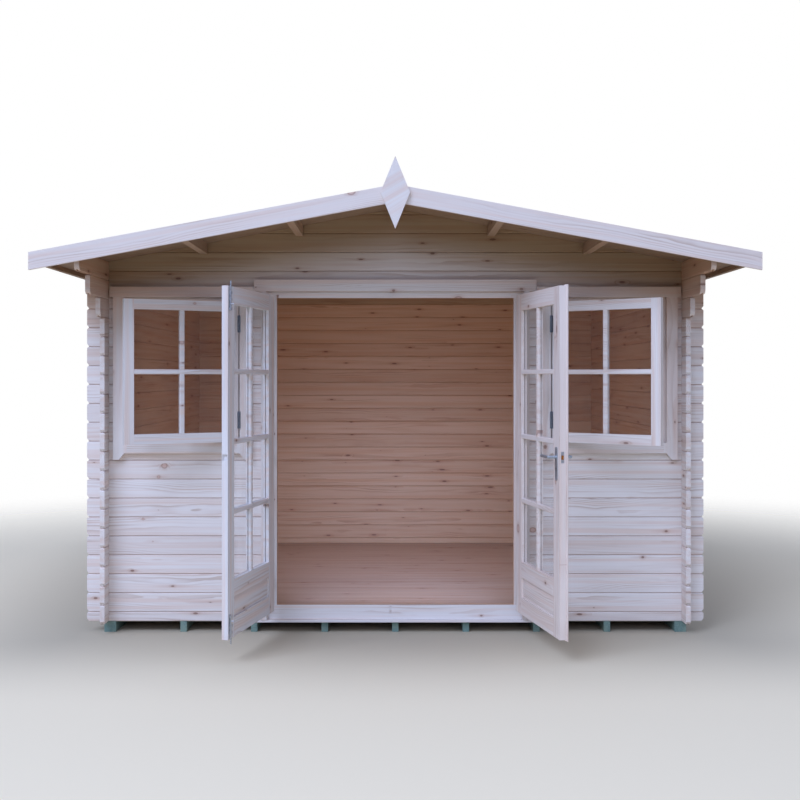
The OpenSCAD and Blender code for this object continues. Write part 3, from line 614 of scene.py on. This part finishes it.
# Screws: round steel heads with a socket, two in each handle plate and four in each bolt plate, driven
# into the leaves' stiles.
def leaf_place(hand, turn):
    foot = Matrix.Translation((hand * leaf_axis_x, leaf_axis_y, leaf_foot))
    return foot @ Matrix.Rotation(math.radians(turn), 4, "Z")


def on_face(leaf, spot, face):
    """A place on a leaf, with its z axis out of the face: 1 for the inner face and -1 for the outer."""
    return leaf @ Matrix.Translation(spot) @ Matrix.Rotation(math.radians(-90 * face), 4, "X")


screw_head, screw_socket = 0.0014, 0.0008


def add_screw(shape, place, radius):
    made = bmesh.ops.create_cone(
        shape, cap_ends=True, segments=14, radius1=radius, radius2=radius * 0.72,
        depth=screw_head, matrix=place,
    )["verts"]
    out = place.to_3x3() @ Vector((0, 0, 1))
    top = max((f for v in made for f in v.link_faces), key=lambda f: f.calc_center_median().dot(out))
    bmesh.ops.inset_individual(shape, faces=[top], thickness=radius * 0.34, depth=-screw_socket)


inner_plate, outer_plate = 0.0413, 0.0007
right_leaf_place = leaf_place(1, right_leaf_turn)
handle_x = -0.7095
handle_faces = ((1, inner_plate), (-1, outer_plate))
handle_screw_levels = (0.862, 1.006)
handle_screw_radius = 0.0042
shape = bmesh.new()
for face, plate in handle_faces:
    for level in handle_screw_levels:
        spot = (handle_x, plate, level)
        add_screw(shape, on_face(right_leaf_place, spot, face), handle_screw_radius)
finished_piece("handle_screws", shape, handle_steel, "right_door")

left_leaf_place = leaf_place(-1, left_leaf_turn)
leaf_height = 1.885
bolt_x = 0.7315
bolt_screw_side = 0.0093
bolt_screw_ends = (0.058, 0.096)
bolt_screw_radius = 0.0024
shape = bmesh.new()
for level in (*bolt_screw_ends, *(leaf_height - end for end in bolt_screw_ends)):
    for side in (-bolt_screw_side, bolt_screw_side):
        spot = (bolt_x + side, inner_plate, level)
        add_screw(shape, on_face(left_leaf_place, spot, 1), bolt_screw_radius)
finished_piece("bolt_screws", shape, zinc, "left_door")


# Keyholes: a round hole over a slot in each handle plate, cut right through to the lock. Here each one
# is a thin dark inlay in the face of the plate, painted shade standing in for the hole.
def key_shadow(name):
    made, place = new_finish(name)
    x, y, z = place.parts()
    shade_mottle = place.noise(place.spot(x * 900, y * 900, z * 900), 2.0)
    lay_on(made, {
        "Base Color": shade_mottle.mix((0.008, 0.008, 0.009), (0.03, 0.03, 0.033)),
        "Roughness": 0.6 + 0.3 * shade_mottle,
    })
    return made


key_level = 0.908
key_sunk, key_depth = 0.0004, 0.0006
key_radius = 0.0042
slot_width, slot_length, slot_drop = 0.0034, 0.013, 0.0075
shape = bmesh.new()
for face, plate in handle_faces:
    place = on_face(right_leaf_place, (handle_x, plate - face * key_sunk, key_level), face)
    bmesh.ops.create_cone(
        shape, cap_ends=True, segments=20, radius1=key_radius, radius2=key_radius,
        depth=key_depth, matrix=place,
    )
    slot = place @ Matrix.Translation((0, face * slot_drop, 0))
    slot = slot @ Matrix.Diagonal((slot_width, slot_length, key_depth, 1))
    bmesh.ops.create_cube(shape, size=1.0, matrix=slot)
finished_piece("keyholes", shape, key_shadow("key_shadow"), "right_door")


# Windows: a pine frame in the wall, face boards round it, and one sash a side with a cross of bars,
# hinged at its door side and left ajar.
window_middle, window_half = 1.28, 0.33
window_post_top = 2.01
member_step = 0.4
window_sill_z, window_row = 1.2, 0.5


def along_window(x, y, z):
    beside_pane = abs(abs(x) - window_middle).maths("GREATER_THAN", window_half)
    upright = beside_pane * z.maths("LESS_THAN", window_post_top)
    flat = 1.0 - upright
    post = (x / member_step).maths("ROUND")
    across = (x - post * member_step) * upright * 0.5 + (z - window_sill_z) * flat
    number = post * upright + (z / window_row).maths("ROUND") * flat * 13.0
    return z * upright + x * flat, across, y - front_face_y, number, shade_zone(x, y, z)


sash_axis_x, sash_axis_y, sash_foot = 0.9355, -1.587, 1.146
right_sash_turn, left_sash_turn = -36, 27
sash_stile_in, sash_stile_out = 0.0605, 0.6285
hinge_stile_middle, far_stile_middle = 0.03, 0.66
sash_middle = 0.3


def along_sash(hand, turn):
    def lie(x, y, z):
        u, v, w = hung_place(x, y, z, (hand * sash_axis_x, sash_axis_y, sash_foot), turn)
        u = u * hand
        stile = 1.0 - u.maths("GREATER_THAN", sash_stile_in) * u.maths("LESS_THAN", sash_stile_out)
        rail = 1.0 - stile
        level = (w / member_step).maths("ROUND")
        end = u.maths("GREATER_THAN", sash_middle)
        off_stile = u - end * far_stile_middle - (1.0 - end) * hinge_stile_middle
        return (
            w * stile + u * rail,
            off_stile * stile + (w - level * member_step) * rail,
            v,
            stile * (end + 3.0) + rail * (level + 7.0),
            0.0 * x,
        )
    return lie


# The window pine is set darker than the walls' pine, as painted shade.
dress(
    pine("window_pine", along_window, 121.7, pale=(0.8, 0.755, 0.725), tone_spread=0.4),
    "left_window_frame", "right_window_frame", "left_window_casing", "right_window_casing",
)
dress(pine("right_sash_pine", along_sash(1, right_sash_turn), 131.1, tone_spread=0.3), "right_sash")
# The left sash's pale tone is darker than the right sash's, painted shade.
left_sash_pine = pine(
    "left_sash_pine", along_sash(-1, left_sash_turn), 141.4,
    pale=(0.77, 0.745, 0.735), tone_spread=0.3,
)
dress(left_sash_pine, "left_sash")


# Studio: a pale floor, darker round the cabin as a painted shadow, that fades into a white surround,
# a soft sky, broad soft lights before and over the cabin, three small ones for the room, and the
# camera before the doors at eye height.
floor_reach = 9.0
floor_middle = -1.5
base_half_width, base_half_depth = 1.9, 1.7
shape = bmesh.new()
bmesh.ops.create_circle(shape, cap_ends=True, segments=96, radius=floor_reach)
bmesh.ops.translate(shape, vec=(0, floor_middle, -0.0005), verts=shape.verts)
mesh = bpy.data.meshes.new("studio_floor")
shape.to_mesh(mesh)
shape.free()
studio_floor = bpy.data.objects.new("studio_floor", mesh)
bpy.context.scene.collection.objects.link(studio_floor)
made, place = new_finish("studio_floor")
x, y, z = place.parts()
out = (x * x + (y - floor_middle) * (y - floor_middle)).maths("SQRT")
beside = (abs(x) - base_half_width).maths("MAXIMUM", 0.0)
before = (abs(y) - base_half_depth).maths("MAXIMUM", 0.0)
shadow_distance = (beside * beside + before * before).maths("SQRT")
# Painted shadow: the floor is darker near the cabin's base and pales out to 1.4 m from it.
lay_on(made, {
    "Base Color": shadow_distance.rise(-0.3, 1.4).mix((0.5, 0.445, 0.33), (0.93, 0.815, 0.585)),
    "Roughness": 0.9,
    "Alpha": out.rise(floor_reach - 0.2, 4.0),
})
mesh.materials.append(made)
studio_floor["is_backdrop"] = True

sky = bpy.data.worlds.new("studio_sky")
sky.use_nodes = True
place = Shade(sky.node_tree, sky.node_tree.nodes.new("ShaderNodeTexCoord").outputs["Generated"])
height = place.parts()[2]
glow = height.rise(0.0, 0.2).mix((0.06, 0.07, 0.1), (0.38, 0.44, 0.63))
white = place.node("LightPath", {}, {}, "Is Camera Ray")
glow = white.mix(glow, (1.0, 1.0, 1.0))
sky.node_tree.links.new(glow.socket, sky.node_tree.nodes["Background"].inputs["Color"])
bpy.context.scene.world = sky
bpy.context.scene.view_settings.view_transform = "Standard"

# Each light: name, width, height, watts, colour, where it stands, what it faces, spread in degrees.
lights = (
    ("broad_light", 11.0, 8.0, 2040, (0.65, 0.76, 1.1), (-8.8, -13.6, 13.4), (0, -1.5, 1.2), 180),
    ("front_light", 9.0, 2.0, 120, (0.64, 0.76, 1.12), (1.5, -12.5, 4.6), (0, -1.5, 1.6), 180),
    ("top_light", 9.0, 6.0, 150, (0.68, 0.76, 1.06), (0, -5.0, 8.0), (0, -5.0, 0), 180),
    ("room_light", 1.3, 1.5, 11.6, (0.92, 0.75, 0.72), (0, -1.25, 1.1), (0, 1.5, 1.1), 180),
    ("floor_light", 2.4, 1.2, 3.4, (0.95, 0.74, 0.7), (0, 0.4, 1.95), (0, 0.55, 0), 85),
    ("door_light", 1.3, 0.6, 4.5, (0.46, 0.74, 1.36), (0, -1.2, 0.45), (0, 1.5, 0.2), 80),
)
for name, wide, tall, power, colour, stand, target, spread in lights:
    lamp = bpy.data.objects.new(name, bpy.data.lights.new(name, "AREA"))
    lamp.data.shape = "RECTANGLE"
    lamp.data.size = wide
    lamp.data.size_y = tall
    lamp.data.energy = power
    lamp.data.color = colour
    lamp.data.spread = math.radians(spread)
    lamp.visible_camera = False
    lamp.location = stand
    lamp.rotation_euler = (Vector(target) - lamp.location).to_track_quat("-Z", "Y").to_euler()
    bpy.context.scene.collection.objects.link(lamp)

camera = bpy.data.objects.new("camera", bpy.data.cameras.new("camera"))
camera.location = (0, -8.198, 1.535)
camera.rotation_euler = (math.radians(90), 0, 0)
camera.data.sensor_width = 36
camera.data.lens = 49.69
camera.data.shift_x = 0.0059
camera.data.shift_y = -0.0289
bpy.context.scene.collection.objects.link(camera)
bpy.context.scene.camera = camera

low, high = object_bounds()
